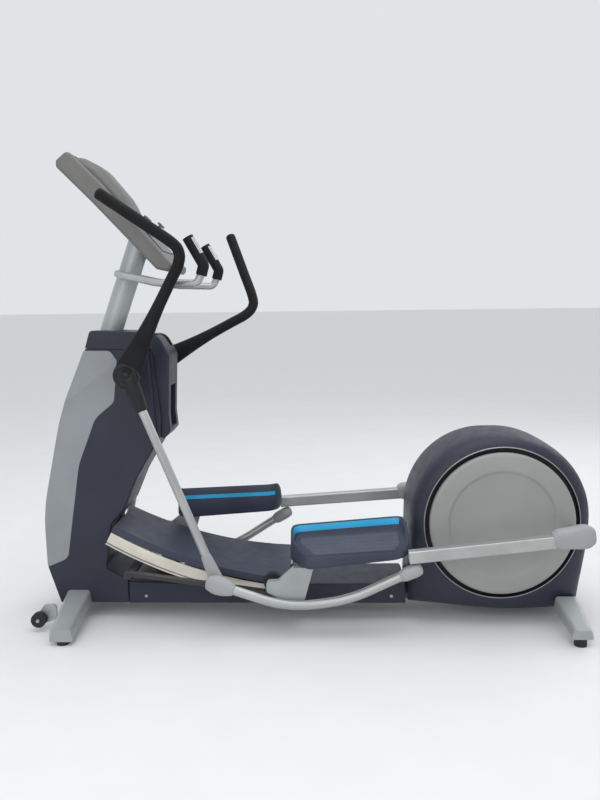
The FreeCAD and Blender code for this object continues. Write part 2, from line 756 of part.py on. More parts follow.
# ---------------------------------------------------------------- foot arms
def foot_arms():
    slope = size("arm_slope")
    for tag, side in SIDES:
        y = side * size("arm_offset")
        along = Rotation(Vector(0, 1, 0), -slope)
        pin = PIN_LEFT + Vector(0, y, 0)

        tube = new_body("arm_tube_" + tag)
        half_w, half_d = size("arm_width") / 2, size("arm_depth") / 2
        section = [(-half_w, -half_d, 7), (half_w, -half_d, 7), (half_w, half_d, 7), (-half_w, half_d, 7)]
        sketch = sketch_on(tube, "YZ_Plane", rounded(section), "arm_section_" + tag)
        pad = tube.newObject("PartDesign::Pad", "arm_pad_" + tag)
        pad.Profile = sketch
        pad.Reversed = True
        pad.setExpression("Length", "Sizes.arm_length")
        tube.Placement = Placement(pin, along) * Placement(Vector(-60, 0, -8), Rotation())
        sub_part(pose(tube, arm_pose(side)), "foot_arm_" + tag)

        cap_outline = [(-84, -40, 22), (40, -48, 40), (52, 0, 30), (40, 48, 40), (-84, 34, 22)]
        cap = padded("arm_cap_" + tag, rounded(cap_outline), "60")
        rim_rounded(cap, side, 12)
        socket = box("cap_socket_" + tag, 30, 38.2, 46.2, Vector(-90, -19.1, -31.1))
        capped = cut("cap_" + tag, cap, socket)
        capped.Placement = Placement(pin, along)
        sub_part(pose(capped, arm_pose(side)), "arm_end_cap_" + tag)

        strut_outline = [
            (-138, 170, 12), (-75, 140, 8), (0, 138, 8), (34, 262, 4), (-40, 262, 4), (-96, 212, 20),
            (-138, 210, 12),
        ]
        strut = padded("strut_plate_" + tag, rounded(strut_outline), "24")
        strut.Placement.Base = Vector(0, side * 257, 0)
        stub = disc("roller_stub_" + tag, 7, 48, ROLLER + Vector(0, side * 227, 0))
        support = fused("strut_" + tag, [strut, stub])
        sub_part(pose(support, arm_pose(side)), "roller_strut_" + tag)

        pedal_solid(tag, side)

        roller_at = ROLLER + Vector(0, side * size("roller_offset"), 0)
        tyre = disc("tyre_" + tag, "Sizes.roller_radius", 24, roller_at)
        bore = disc("tyre_bore_" + tag, 7.05, 60, roller_at)
        sub_part(pose(cut("roller_" + tag, tyre, bore), arm_pose(side)), "ramp_roller_" + tag)


def pedal_solid(tag, side):
    """A shallow foot tray with a toe wall, an inner wall and a ribbed tread on its floor."""
    outline = [(-50, 262, 10), (-52, 386, 40), (70, 398, 60), (384, 421, 30), (384, 322, 22), (60, 272, 60)]
    block = padded("pedal_block_" + tag, rounded(outline), "166")
    block.Placement.Base = Vector(0, side * 223, 0)
    room = [(-36, 328, 20), (-40, 470, 20), (376, 500, 20), (370, 362, 24)]
    hollow = padded("pedal_room_" + tag, rounded(room), "142")
    hollow.Placement.Base = Vector(0, side * 225, 0)
    low_side = [(-20, 345, 6), (40, 500, 10), (460, 500, 10), (396, 372, 6)]
    outer_cut = padded("pedal_low_side_" + tag, rounded(low_side), "40")
    outer_cut.Placement.Base = Vector(0, side * 300, 0)
    reach = 60 + size("arm_length")
    arm_room = box("pedal_arm_room_" + tag, 120, "Sizes.arm_width + 1", "Sizes.arm_depth + 1", Vector())
    along = Placement(PIN_LEFT + Vector(0, side * size("arm_offset"), 0),
                      Rotation(Vector(0, 1, 0), -size("arm_slope")))
    half_w, half_d = size("arm_width") / 2 + 0.5, size("arm_depth") / 2 + 0.5
    arm_room.Placement = along * Placement(Vector(-reach - 0.5, -half_w, -8 - half_d), Rotation())
    strut_room = box("pedal_strut_room_" + tag, 84, 24.4, 20, Vector(-46, side * 257 - 12.2, 243))
    tools = fused("pedal_tools_" + tag, [hollow, outer_cut, strut_room, arm_room])
    tray = cut("pedal_" + tag, block, tools)
    sub_part(pose(tray, arm_pose(side)), "pedal_" + tag)


# ---------------------------------------------------------------- handlebars and links
def handlebars():
    for tag, side in SIDES:
        def spot(x, depth, z):
            return Vector(x, side * depth, z)

        grip = tube_along(
            [spot(-622, 228, 984), spot(-405, 240, 1398), spot(-669, 335, 1583)], [62], size("grip_radius")
        )
        wide = Part.makeLoft([
            oval(spot(-612, 226, 1004), 62.0, 46, 23),
            oval(spot(-560, 230, 1102), 62.0, 31, 21.5),
            oval(spot(-510, 234, 1198), 62.0, 21, 20.5),
        ], True)
        skirt = hub_drum(spot(-630, 214, 964), 47, 17)
        neck = Part.makeLoft([
            oval(spot(-628, 226, 972), 62.0, 47, 22),
            oval(spot(-612, 226, 1004), 62.0, 46, 23),
        ], True)
        shape = grip.fuse([wide, neck, skirt]).removeSplitter()
        bore = Part.makeCylinder(16.05, 80, spot(-630, 214, 964) - Vector(0, 40, 0), Vector(0, 1, 0))
        handle = shaped("handlebar_" + tag, shape.cut(bore))
        sub_part(pose(handle, handle_pose(side)), "handlebar_" + tag)

        foot = ELBOW + Vector(0, side * 246, 0)
        head = spot(-614, 226, 924)
        lower = tube_along([head, foot - (foot - head).normalize() * 8], [], size("tube_radius"))
        collar = Part.makeCone(26, 17, 84, head, foot - head)
        eye = Part.makeCylinder(24, 20, foot - Vector(0, 10, 0), Vector(0, 1, 0))
        arm = lower.fuse([collar, eye]).removeSplitter()
        hole = Part.makeCylinder(8.05, 60, foot - Vector(0, 30, 0), Vector(0, 1, 0))
        item = shaped("lower_tube_" + tag, arm.cut(hole.fuse(shape)))
        sub_part(pose(item, handle_pose(side)), "lower_tube_" + tag)

        link(tag, side)
    pivot_shaft = disc("pivot_shaft_bar", 16, 440, PIVOT)
    sub_part(pivot_shaft, "handle_pivot_shaft")
    place(pivot_shaft, PIVOT - Vector(0, 220, 0), Rotation(Vector(1, 0, 0), -90))


def oval(centre, heading_angle, half_long, half_short):
    """An elliptical wire square to a heading in the XZ plane, long way in that plane."""
    shape = Part.Ellipse(Vector(), half_long, half_short).toShape()
    wire = Part.Wire([shape])
    wire.rotate(Vector(), Vector(0, 1, 0), 90 - heading_angle)
    wire.translate(centre)
    return wire


def hub_drum(centre, radius, half_width):
    """A short drum with its axis along Y."""
    return Part.makeCylinder(radius, 2 * half_width, centre - Vector(0, half_width, 0), Vector(0, 1, 0))


def link(tag, side):
    y = side * size("link_offset")
    points = [
        ELBOW + Vector(20, y, -4), Vector(-60, y, 119), Vector(160, y, 148), JOINT + Vector(-14, y, -4),
    ]
    bar = tube_along(points, [420, 520], size("link_radius"))
    front = ELBOW + Vector(0, y, 0)
    sleeve = Part.makeCylinder(34, 46, front - Vector(0, 23, 0), Vector(0, 1, 0))
    solid = bar.cut(sleeve)
    end = JOINT + Vector(0, y, 0)
    end_sleeve = Part.makeCylinder(23, 60, end - Vector(0, 30, 0), Vector(0, 1, 0))
    item = shaped("link_tube_" + tag, solid.cut(end_sleeve))
    sub_part(pose(item, link_pose(side)), "link_tube_" + tag)

    inner = side * 262
    elbow = Part.makeCylinder(34, 46, front - Vector(0, 23, 0), Vector(0, 1, 0))
    stub_start = ELBOW + Vector(0, min(side * 234, inner + side * 4), 0)
    stub = Part.makeCylinder(8, abs(side * 234 - inner) + 4, stub_start, Vector(0, 1, 0))
    cap = Part.makeCylinder(23, 44, end - Vector(0, 22, 0), Vector(0, 1, 0))
    covers = Part.Compound([elbow.fuse(stub), cap])
    item = shaped("link_covers_" + tag, covers)
    sub_part(pose(item, link_pose(side)), "link_covers_" + tag)


# ---------------------------------------------------------------- mast, fixed bar, console
CONSOLE = [
    (-6, -6, 14), (0, 50, 20), (165, 48, 400), (430, 24, 400), (545, 14, 12), (560, -10, 14),
    (515, -38, 20), (180, -24, 300), (10, -22, 14),
]


def mast():
    body = new_body("mast_tube")
    ring = Part.Ellipse(Vector(), 42, 34)
    sketch = sketch_on(body, "XY_Plane", [ring], "mast_section")
    pad = body.newObject("PartDesign::Pad", "mast_pad")
    pad.Profile = sketch
    pad.setExpression("Length", "Sizes.mast_length")
    place(body, Vector(-751, 0, 1098), Rotation(Vector(0, 1, 0), size("mast_lean")))

    bars, grips, plates = [], [], []
    reach = size("fixed_grip_offset")
    for _, side in SIDES:
        def spot(x, y, z):
            return Vector(x, side * y, z)
        rail = tube_along(
            [spot(-690, 0, 1331), spot(-690, 96, 1331), spot(-520, 164, 1292), spot(-372, reach, 1288),
             spot(-352, reach, 1330)],
            [46, 200, 24], 14,
        )
        bars.append(rail)
        knob = tube_along(
            [spot(-357, reach, 1316), spot(-347, reach, 1352), spot(-402, reach, 1450)], [16], 20,
        )
        knob = knob.cut(rail)
        grips.append(knob)
        top, low = spot(-397, reach, 1441), spot(-366, reach, 1386)
        sleeve = Part.makeCylinder(21.5, top.distanceToPoint(low), low, top - low)
        core = Part.makeCylinder(20.4, top.distanceToPoint(low) + 2, low, top - low)
        front_half = Part.makeBox(60, 60, 160, spot(-350, reach, 1320) - Vector(0, 30, 0))
        front_half.rotate(spot(-362, reach, 1378), Vector(0, 1, 0), -29)
        plates.append(sleeve.cut(core).common(front_half))
    bar = bars[0].fuse(bars[1]).removeSplitter()
    doc.recompute()
    through = bar.translated(Vector(size("origin_shift"), 0, 0))
    console_solid = face_of(CONSOLE).extrude(Vector(0, size("console_width"), 0))
    console_solid.translate(Vector(0, -size("console_width") / 2, 0))
    console_place = Placement(
        Vector(size("console_top_x") + size("origin_shift"), 0, size("console_top_height")),
        Rotation(Vector(0, 1, 0), size("console_tilt")),
    )
    console_solid.Placement = console_place * console_solid.Placement
    trimmed = body.Shape.cut(through.fuse(console_solid))
    lowest = min(trimmed.Solids, key=lambda solid: solid.BoundBox.ZMin)
    sub_part(shaped("mast", lowest), "mast")
    sub_part(shaped("fixed_handlebar", bar), "fixed_handlebar")
    sub_part(shaped("fixed_grips", Part.Compound(grips)), "fixed_grips")
    sub_part(shaped("pulse_sensors", Part.Compound(plates)), "pulse_sensors")
    for item in parts[-3:]:
        place(item)


def console():
    at = Vector(size("console_top_x"), 0, size("console_top_height"))
    turn = Rotation(Vector(0, 1, 0), size("console_tilt"))
    back = padded("console_body", rounded(CONSOLE), "Sizes.console_width")
    rim_rounded(back, 1, 12)
    rim_rounded(back, -1, 12)
    hood = [(16, 44, 4), (34, 72, 26), (110, 90, 160), (250, 74, 160), (336, 34, 6)]
    screen_cut = padded("screen_room", rounded(hood), "232")
    sub_part(cut("console_housing", back, screen_cut), "console_housing")
    place(parts[-1], at, turn)
    screen = padded("console_display", rounded(hood), "230")
    rim_rounded(screen, 1, 6)
    rim_rounded(screen, -1, 6)
    sub_part(screen, "console_display")
    place(screen, at, turn)
    keypad = box("console_keypad", 110, 190, 3, Vector(372, -95, 0))
    sub_part(keypad, "console_keypad")
    keypad_turn = turn * Rotation(Vector(0, 1, 0), 5.2)
    place(keypad, at + turn.multVec(Vector(368, -95, 30.0)), keypad_turn)
    for tag, side in (("resistance", -1), ("incline", 1)):
        lever = fused("lever_" + tag, [
            disc("lever_hub_" + tag, 7, 26, Vector(0, 0, 0)),
            box("lever_blade_" + tag, 8, 24, 30, Vector(-4, -12, 0)),
            box("lever_cap_" + tag, 26, 26, 8, Vector(-13, -13, 26)),
        ])
        sub_part(lever, tag + "_lever")
        place(lever, at + turn.multVec(Vector(364, side * 112, 40)), turn)


def fasteners():
    """Button head screws that hold the base cover to the beam."""
    screws = []
    for _, side in SIDES:
        for x in (-620, -120, 330):
            spot = Vector(x, side * (size("base_width") / 2 + 1.2), 92)
            screws.append(disc("cover_screw_%d_%d" % (x + 700, side + 1), 6, 2, spot))
    sub_part(grouped("cover_screws", screws), "cover_screws")
    place(parts[-1])


def build():
    frame()
    feet()
    column()
    base_covers()
    ramp()
    drive()
    foot_arms()
    handlebars()
    mast()
    console()
    fasteners()
    doc.recompute()


def check_and_write():
    failed = []
    for item in doc.Objects:
        if {"Invalid", "Error"} & set(item.State):
            failed.append(item.Name + " " + str(item.State))
    for item in parts:
        if item.Shape.isNull() or not item.Shape.isValid():
            failed.append(item.Label + " has a bad shape")
    if failed:
        raise RuntimeError("; ".join(failed))
    os.makedirs("parts", exist_ok=True)
    for item in parts:
        item.Shape.exportStep("parts/%s.step" % item.Label)
    whole = Part.Compound([item.Shape for item in parts]).optimalBoundingBox(False)
    print(len(parts), "sub-parts", whole)


build()
check_and_write()
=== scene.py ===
"""Visual model of the elliptical trainer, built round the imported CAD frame.

Lengths in the tables below are millimetres in the drawing datum that the CAD uses:
the crank's axis is at x = 732, z = 396. The function mm() takes them to metres in
the row frame. Right-hand pieces are the left-hand ones mirrored in Y and moved to
the other end of the stroke, as the joints say.
"""
import json
import math

import bmesh
import bpy
from mathutils import Matrix, Vector


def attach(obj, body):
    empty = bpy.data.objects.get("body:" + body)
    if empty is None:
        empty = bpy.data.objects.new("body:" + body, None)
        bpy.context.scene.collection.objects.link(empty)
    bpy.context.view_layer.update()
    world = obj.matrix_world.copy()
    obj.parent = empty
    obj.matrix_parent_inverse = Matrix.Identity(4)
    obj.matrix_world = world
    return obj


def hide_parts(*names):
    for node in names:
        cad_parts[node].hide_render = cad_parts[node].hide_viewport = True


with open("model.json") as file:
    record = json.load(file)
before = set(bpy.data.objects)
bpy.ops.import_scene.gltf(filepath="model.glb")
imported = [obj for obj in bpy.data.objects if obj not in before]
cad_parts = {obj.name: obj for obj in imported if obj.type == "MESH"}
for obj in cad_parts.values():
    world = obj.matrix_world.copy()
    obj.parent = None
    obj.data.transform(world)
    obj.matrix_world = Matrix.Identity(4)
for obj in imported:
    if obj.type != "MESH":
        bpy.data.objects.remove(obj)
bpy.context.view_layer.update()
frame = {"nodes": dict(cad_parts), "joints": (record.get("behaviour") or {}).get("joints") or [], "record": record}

JOINTS = {joint["name"]: joint for joint in frame["joints"]}
COUPLINGS = {c["joint"]: c for c in frame["record"]["behaviour"]["couplings"]}
HALF_TURN = JOINTS["crank_turn"]["range_deg"][1]
CRANK_X, CRANK_Z = 732.0, 396.0
DATUM_X = JOINTS["crank_turn"]["pos_m"][0] - CRANK_X / 1000
SIDES = (("left", -1), ("right", 1))


def mm(x, y, z):
    return Vector((x / 1000 + DATUM_X, y / 1000, z / 1000))


def far_turn(name):
    """The turn from a follower's left-hand rest place to its place half a crank turn on."""
    joint = JOINTS[name]
    centre = Vector(joint["pos_m"])
    angle = math.radians(-COUPLINGS[name]["ratio"] * HALF_TURN)
    turn = Matrix.Rotation(angle, 4, Vector(joint["axis"]))
    return Matrix.Translation(centre) @ turn @ Matrix.Translation(-centre)


FAR = {
    "arm": far_turn("right_stride"),
    "handle": far_turn("right_swing"),
    "link": far_turn("right_link_turn") @ far_turn("right_swing"),
}


def placed(points, side, group=None):
    """Points of the left-hand drawing taken to one side, with |y| given as depth."""
    moved = [Vector((p.x, side * p.y, p.z)) for p in points]
    if side > 0 and group:
        moved = [FAR[group] @ p for p in moved]
    return moved


# ---------------------------------------------------------------- materials
def new_material(name):
    material = bpy.data.materials.new(name)
    material.use_nodes = True
    return material, material.node_tree.nodes, material.node_tree.links


def noise_node(nodes, links, source, scale, detail=3.0):
    node = nodes.new("ShaderNodeTexNoise")
    node.inputs["Scale"].default_value = scale
    node.inputs["Detail"].default_value = detail
    links.new(source, node.inputs["Vector"])
    return node


def ranged(nodes, links, source, low, high):
    node = nodes.new("ShaderNodeMapRange")
    node.inputs["From Min"].default_value = 0.3
    node.inputs["From Max"].default_value = 0.7
    node.inputs["To Min"].default_value = low
    node.inputs["To Max"].default_value = high
    links.new(source, node.inputs["Value"])
    return node.outputs["Result"]


def finish_material(name, colour, roughness, grain=700.0, bump=0.0002, vary=0.10, metallic=0.0,
                    stretch=(1.0, 1.0, 1.0), speckle=0.0, ribs=None, coat=0.0, specular=0.5):
    """Moulded, painted or brushed surface: slow tone drift, fine grain, uneven gloss."""
    material, nodes, links = new_material(name)
    shader = nodes["Principled BSDF"]
    shader.inputs["Metallic"].default_value = metallic
    shader.inputs["Coat Weight"].default_value = coat
    shader.inputs["Specular IOR Level"].default_value = specular
    where = nodes.new("ShaderNodeTexCoord").outputs["Object"]
    mapping = nodes.new("ShaderNodeMapping")
    mapping.inputs["Scale"].default_value = stretch
    links.new(where, mapping.inputs["Vector"])
    drift = noise_node(nodes, links, where, 5.0)
    fine = noise_node(nodes, links, mapping.outputs["Vector"], grain, 2.0)
    ramp = nodes.new("ShaderNodeValToRGB")
    dark = [c * (1 - vary) for c in colour] + [1.0]
    light = [min(c * (1 + vary), 1.0) for c in colour] + [1.0]
    ramp.color_ramp.elements[0].position, ramp.color_ramp.elements[0].color = 0.35, dark
    ramp.color_ramp.elements[1].position, ramp.color_ramp.elements[1].color = 0.65, light
    links.new(drift.outputs["Fac"], ramp.inputs["Fac"])
    base = ramp.outputs["Color"]
    if speckle:
        flecks = nodes.new("ShaderNodeMixRGB")
        flecks.blend_type = "MULTIPLY"
        flecks.inputs["Fac"].default_value = 1.0
        shade = ranged(nodes, links, fine.outputs["Fac"], 1 - speckle, 1 + speckle)
        links.new(base, flecks.inputs["Color1"])
        links.new(shade, flecks.inputs["Color2"])
        base = flecks.outputs["Color"]
    links.new(base, shader.inputs["Base Color"])
    gloss = noise_node(nodes, links, where, 26.0)
    links.new(ranged(nodes, links, gloss.outputs["Fac"], roughness - 0.05, roughness + 0.07),
              shader.inputs["Roughness"])
    height = fine.outputs["Fac"]
    relief = nodes.new("ShaderNodeBump")
    relief.inputs["Distance"].default_value = bump
    relief.inputs["Strength"].default_value = 0.6
    if ribs:
        wave = nodes.new("ShaderNodeTexWave")
        wave.bands_direction = ribs[0]
        wave.inputs["Scale"].default_value = ribs[1]
        links.new(where, wave.inputs["Vector"])
        mix = nodes.new("ShaderNodeMath")
        mix.operation = "ADD"
        links.new(height, mix.inputs[0])
        links.new(wave.outputs["Fac"], mix.inputs[1])
        height = mix.outputs["Value"]
    links.new(height, relief.inputs["Height"])
    links.new(relief.outputs["Normal"], shader.inputs["Normal"])
    return material


SLATE = (0.024, 0.027, 0.045)
MATERIALS = {
    "frame_paint": finish_material("black_paint", (0.018, 0.018, 0.021), 0.42, coat=0.2),
    "silver_paint": finish_material("silver_paint", (0.36, 0.38, 0.385), 0.40, metallic=0.35, coat=0.3,
                                    speckle=0.06),
    "satin_tube": finish_material("satin_tube", (0.42, 0.43, 0.42), 0.38, metallic=0.55,
                                  stretch=(0.06, 1.0, 1.0), speckle=0.05),
    "shroud_plastic": finish_material("slate_plastic", SLATE, 0.46, grain=900.0, bump=0.0003, specular=0.34),
    "panel_plastic": finish_material("grey_panel", (0.255, 0.268, 0.280), 0.42, grain=900.0, vary=0.06),
    "disc_plastic": finish_material("disc_plastic", (0.300, 0.298, 0.292), 0.50, grain=800.0, vary=0.05),
    "joint_plastic": finish_material("joint_plastic", (0.33, 0.335, 0.345), 0.54, grain=420.0,
                                     bump=0.0003, speckle=0.06, specular=0.35),
    "pedal_plastic": finish_material("pedal_plastic", (0.040, 0.046, 0.074), 0.50, bump=0.0003,
                                     specular=0.34),
    "ramp_plastic": finish_material("ramp_plastic", (0.044, 0.050, 0.078), 0.46, bump=0.0003,
                                    specular=0.34),
    "rail_cream": finish_material("rail_cream", (0.70, 0.66, 0.58), 0.44, metallic=0.1, vary=0.18),
    "grip_foam": finish_material("grip_foam", (0.0045, 0.0045, 0.0055), 0.66, grain=1300.0, bump=0.0006,
                                 vary=0.3, specular=0.28),
    "rubber": finish_material("rubber", (0.014, 0.014, 0.015), 0.72, grain=500.0, bump=0.0006, vary=0.25),
    "display": finish_material("smoked_hood", (0.105, 0.105, 0.098), 0.40, grain=300.0, bump=0.00005,
                               vary=0.05, coat=0.12, specular=0.35),
    "keypad_plastic": finish_material("keypad", (0.10, 0.10, 0.11), 0.35, vary=0.12),
    "sensor_chrome": finish_material("sensor_chrome", (0.52, 0.52, 0.53), 0.30, metallic=1.0,
                                     bump=0.00004, vary=0.03),
    "steel": finish_material("machined_steel", (0.40, 0.40, 0.41), 0.34, metallic=1.0,
                             stretch=(1.0, 0.1, 1.0), speckle=0.06),
}
BLUE = finish_material("cyan_trim", (0.008, 0.36, 0.66), 0.42, grain=600.0, vary=0.12)
TREAD = finish_material("ribbed_tread", (0.075, 0.088, 0.125), 0.58, bump=0.0016, vary=0.08,
                        ribs=("Y", 62.0))
# Black that paints the shadow inside the drive housing, seen round the crank discs.
SHADOW_GAP = finish_material("painted_shadow_black", (0.006, 0.006, 0.007), 0.6)
TRIM_LINE = finish_material("trim_line", (0.30, 0.31, 0.33), 0.35, metallic=0.3)
HUB_BLACK = finish_material("hub_black", (0.007, 0.007, 0.008), 0.44, grain=800.0, vary=0.25,
                            specular=0.35)
TAUPE = finish_material("console_taupe", (0.150, 0.146, 0.140), 0.44, grain=900.0, vary=0.06, specular=0.4)


def paint_frame():
    slots = {part["node"]: part["material_slot"] for part in frame["record"]["subparts"]}
    for node, item in frame["nodes"].items():
        material = MATERIALS[slots[node]]
        if not item.data.materials:
            item.data.materials.append(material)
        for slot in item.material_slots:
            slot.material = TAUPE if node == "console_housing" else material


# ---------------------------------------------------------------- mesh helpers
def make_piece(name, points, faces, body, slot, material=None, replaced=(), sharp=38.0):
    """A smooth-shaded mesh object that rides on a body and keeps edges sharper than an angle."""
    mesh = bpy.data.meshes.new(name)
    mesh.from_pydata([tuple(p) for p in points], [], faces)
    build = bmesh.new()
    build.from_mesh(mesh)
    bmesh.ops.remove_doubles(build, verts=build.verts, dist=1e-6)
    bmesh.ops.recalc_face_normals(build, faces=build.faces)
    build.to_mesh(mesh)
    build.free()
    mesh.materials.append(material or MATERIALS[slot])
    for face in mesh.polygons:
        face.use_smooth = True
    item = bpy.data.objects.new(name, mesh)
    bpy.context.scene.collection.objects.link(item)
    mesh.set_sharp_from_angle(angle=math.radians(sharp))
    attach(item, body)
    if replaced:
        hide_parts(*replaced)
    return item


def ring_faces(rings, count, closed_ends=True):
    faces = []
    for level in range(rings - 1):
        for index in range(count):
            after = (index + 1) % count
            low, high = level * count, (level + 1) * count
            faces.append((low + index, low + after, high + after, high + index))
    if closed_ends:
        faces.append(tuple(range(count)))
        faces.append(tuple(range((rings - 1) * count, rings * count)))
    return faces


def loft(name, rings, side, group, body, slot, **options):
    """A skin through rings of points; the rings are drawn for the left-hand side."""
    points = [p for ring in rings for p in placed(ring, side, group)]
    return make_piece(name, points, ring_faces(len(rings), len(rings[0])), body, slot, **options)


def smooth_path(knots, steps=10):
    """Catmull-Rom samples through (x, y, z, *sizes) knots."""
    padded_knots = [knots[0]] + list(knots) + [knots[-1]]
    samples = []
    for p0, p1, p2, p3 in zip(padded_knots, padded_knots[1:], padded_knots[2:], padded_knots[3:]):
        for step in range(steps):
            t = step / steps
            samples.append(tuple(
                0.5 * (2 * b + (c - a) * t + (2 * a - 5 * b + 4 * c - d) * t * t
                       + (3 * b - a - 3 * c + d) * t * t * t)
                for a, b, c, d in zip(p0, p1, p2, p3)
            ))
    samples.append(tuple(knots[-1]))
    return samples


def swept_rings(knots, steps=10, count=28, dome=5, power=2.0):
    """Rings along (x, y, z, half in plane, half across) knots, with domed ends."""
    samples = smooth_path(knots, steps)
    centres = [mm(*s[:3]) for s in samples]
    rings = []
    last = len(samples) - 1
    for index, sample in enumerate(samples):
        ahead = centres[min(index + 1, last)] - centres[max(index - 1, 0)]
        ahead.normalize()
        across = Vector((0, 1, 0)) - ahead * ahead.y
        across.normalize()
        inward = ahead.cross(across)
        places = [(centres[index], 1.0)]
        if index in (0, last):
            sign = -1 if index == 0 else 1
            depth = min(sample[3], sample[4]) / 1000 * 0.6
            domes = [(centres[index] + ahead * sign * depth * math.sin(a), math.cos(a))
                     for a in (math.radians(84 * k / dome) for k in range(1, dome + 1))]
            places = (list(reversed(domes)) + places) if index == 0 else places + domes
        for centre, shrink in places:
            ring = []
            for k in range(count):
                angle = 2 * math.pi * k / count
                c, s = math.cos(angle), math.sin(angle)
                c = math.copysign(abs(c) ** (2 / power), c)
                s = math.copysign(abs(s) ** (2 / power), s)
                ring.append(centre + inward * c * sample[3] / 1000 * shrink
                            + across * s * sample[4] / 1000 * shrink)
            rings.append(ring)
    return rings


def corner_outline(corners, steps=8):
    """Points of a closed outline of (x, z, corner radius), round corners as arcs."""
    result = []
    count = len(corners)
    for index, (x, z, radius) in enumerate(corners):
        corner = Vector((x, z))
        before = (Vector(corners[index - 1][:2]) - corner).normalized()
        after = (Vector(corners[(index + 1) % count][:2]) - corner).normalized()
        if radius <= 0:
            result.append(corner)
            continue
        half = before.angle(after) / 2
        centre = corner + (before + after).normalized() * (radius / math.sin(half))
        first = corner + before * (radius / math.tan(half)) - centre
        last = corner + after * (radius / math.tan(half)) - centre
        sweep = first.angle_signed(last)
        for k in range(steps + 1):
            turn = Matrix.Rotation(-sweep * k / steps, 2)
            result.append(centre + turn @ first)
    return result


def inset_outline(points, distance):
    """A dense closed outline moved inwards; the winding decides which way that is."""
    count = len(points)
    area = sum(points[i].x * points[(i + 1) % count].y - points[(i + 1) % count].x * points[i].y
               for i in range(count))
    sign = 1 if area > 0 else -1
    moved = []
    for index, point in enumerate(points):
        along = (points[(index + 1) % count] - points[index - 1]).normalized()
        moved.append(point + Vector((-along.y, along.x)) * sign * distance)
    return moved


def rounded_slab(outline, inner, outer, rim, steps=6):
    """Rings of a plate between two depths, its outer rim rounded."""
    levels = [(inner, 0.0)]
    for k in range(steps + 1):
        angle = math.pi / 2 * k / steps
        levels.append((outer - rim + rim * math.sin(angle), rim * (1 - math.cos(angle))))
    return [[mm(p.x, depth, p.y) for p in inset_outline(outline, inset)] for depth, inset in levels]


def turned(profile, centre, count=96):
    """Rings of a round part about a Y axis from (radius, depth) pairs."""
    return [
        [mm(centre[0] + radius * math.cos(2 * math.pi * k / count), depth,
            centre[1] + radius * math.sin(2 * math.pi * k / count)) for k in range(count)]
        for radius, depth in profile
    ]


# ---------------------------------------------------------------- camera, floor and light
CAMERA_AT = Vector((0.076 + DATUM_X, -2.8, 1.199))
CAMERA_DOWN, CAMERA_LEFT, CAMERA_ROLL = 0.127, 0.033, 0.012
CAMERA_LENS = 32.67


def studio():
    cos_down, sin_down = math.cos(CAMERA_DOWN), math.sin(CAMERA_DOWN)
    ahead = Vector((-math.sin(CAMERA_LEFT) * cos_down, math.cos(CAMERA_LEFT) * cos_down, -sin_down))
    right = Vector((math.cos(CAMERA_LEFT), math.sin(CAMERA_LEFT), 0))
    down = ahead.cross(right)
    rolled_right = right * math.cos(CAMERA_ROLL) + down * math.sin(CAMERA_ROLL)
    up = rolled_right.cross(ahead)
    camera = bpy.data.objects.new("camera", bpy.data.cameras.new("camera"))
    camera.data.lens = CAMERA_LENS
    camera.data.sensor_width = 36.0
    turn = Matrix((rolled_right, up, -ahead)).transposed().to_4x4()
    camera.matrix_world = Matrix.Translation(CAMERA_AT) @ turn
    bpy.context.scene.collection.objects.link(camera)
    bpy.context.scene.camera = camera

    floor_mesh = bpy.data.meshes.new("floor")
    far = 220.0
    floor_mesh.from_pydata([(-far, -far, 0), (far, -far, 0), (far, far, 0), (-far, far, 0)], [],
                           [(0, 1, 2, 3)])
    floor = bpy.data.objects.new("floor", floor_mesh)
    floor_mesh.materials.append(finish_material("pale_floor", (0.80, 0.80, 0.80), 0.9, grain=40.0,
                                                bump=0.00005, vary=0.01))
    bpy.context.scene.collection.objects.link(floor)

    world = bpy.data.worlds.new("studio")
    world.use_nodes = True
    world.node_tree.nodes["Background"].inputs["Color"].default_value = (0.94, 0.97, 1.0, 1)
    world.node_tree.nodes["Background"].inputs["Strength"].default_value = 0.80
    bpy.context.scene.world = world
    lamps = (
        ("overhead", (0.2, -0.4, 4.2), (0, 0, 0.4), 3.6, 62.0),
        ("front", (-1.6, -4.2, 2.6), (0, 0, 0.7), 2.6, 40.0),
        ("rear", (3.2, 2.4, 3.0), (0, 0, 0.7), 2.0, 26.0),
    )
    for name, at, towards, width, power in lamps:
        light = bpy.data.lights.new(name, "AREA")
        light.shape, light.size, light.energy = "SQUARE", width, power
        lamp = bpy.data.objects.new(name, light)
        lamp.location = at
        lamp.rotation_euler = (Vector(towards) - Vector(at)).to_track_quat("-Z", "Y").to_euler()
        bpy.context.scene.collection.objects.link(lamp)
    bpy.context.scene.view_settings.view_transform = "Standard"


# ---------------------------------------------------------------- drive end
PIN = (CRANK_X + 245 * math.cos(math.radians(3.2)), CRANK_Z - 245 * math.sin(math.radians(3.2)))
ARM_SLOPE = math.radians(6.2)
ARM_DEPTH = 287.0
HOUSING = [(388, 66, 0), (404, 722, 316), (1077, 722, 316), (1070, 330, 300), (1036, 42, 0),
           (742, 40, 900)]
WINDOW_RADIUS = 285.0


def reach_at(outline, angle):
    """How far a ray from the crank's axis goes before it meets the outline."""
    ray = Vector((math.cos(angle), math.sin(angle)))
    centre = Vector((CRANK_X, CRANK_Z))
    best = 0.0
    for index, first in enumerate(outline):
        edge = outline[(index + 1) % len(outline)] - first
        across = ray.x * edge.y - ray.y * edge.x
        if abs(across) < 1e-9:
            continue
        gap = first - centre
        along = (gap.x * edge.y - gap.y * edge.x) / across
        share = (gap.x * ray.y - gap.y * ray.x) / across
        if -1e-6 <= share <= 1 + 1e-6:
            best = max(best, along)
    return best


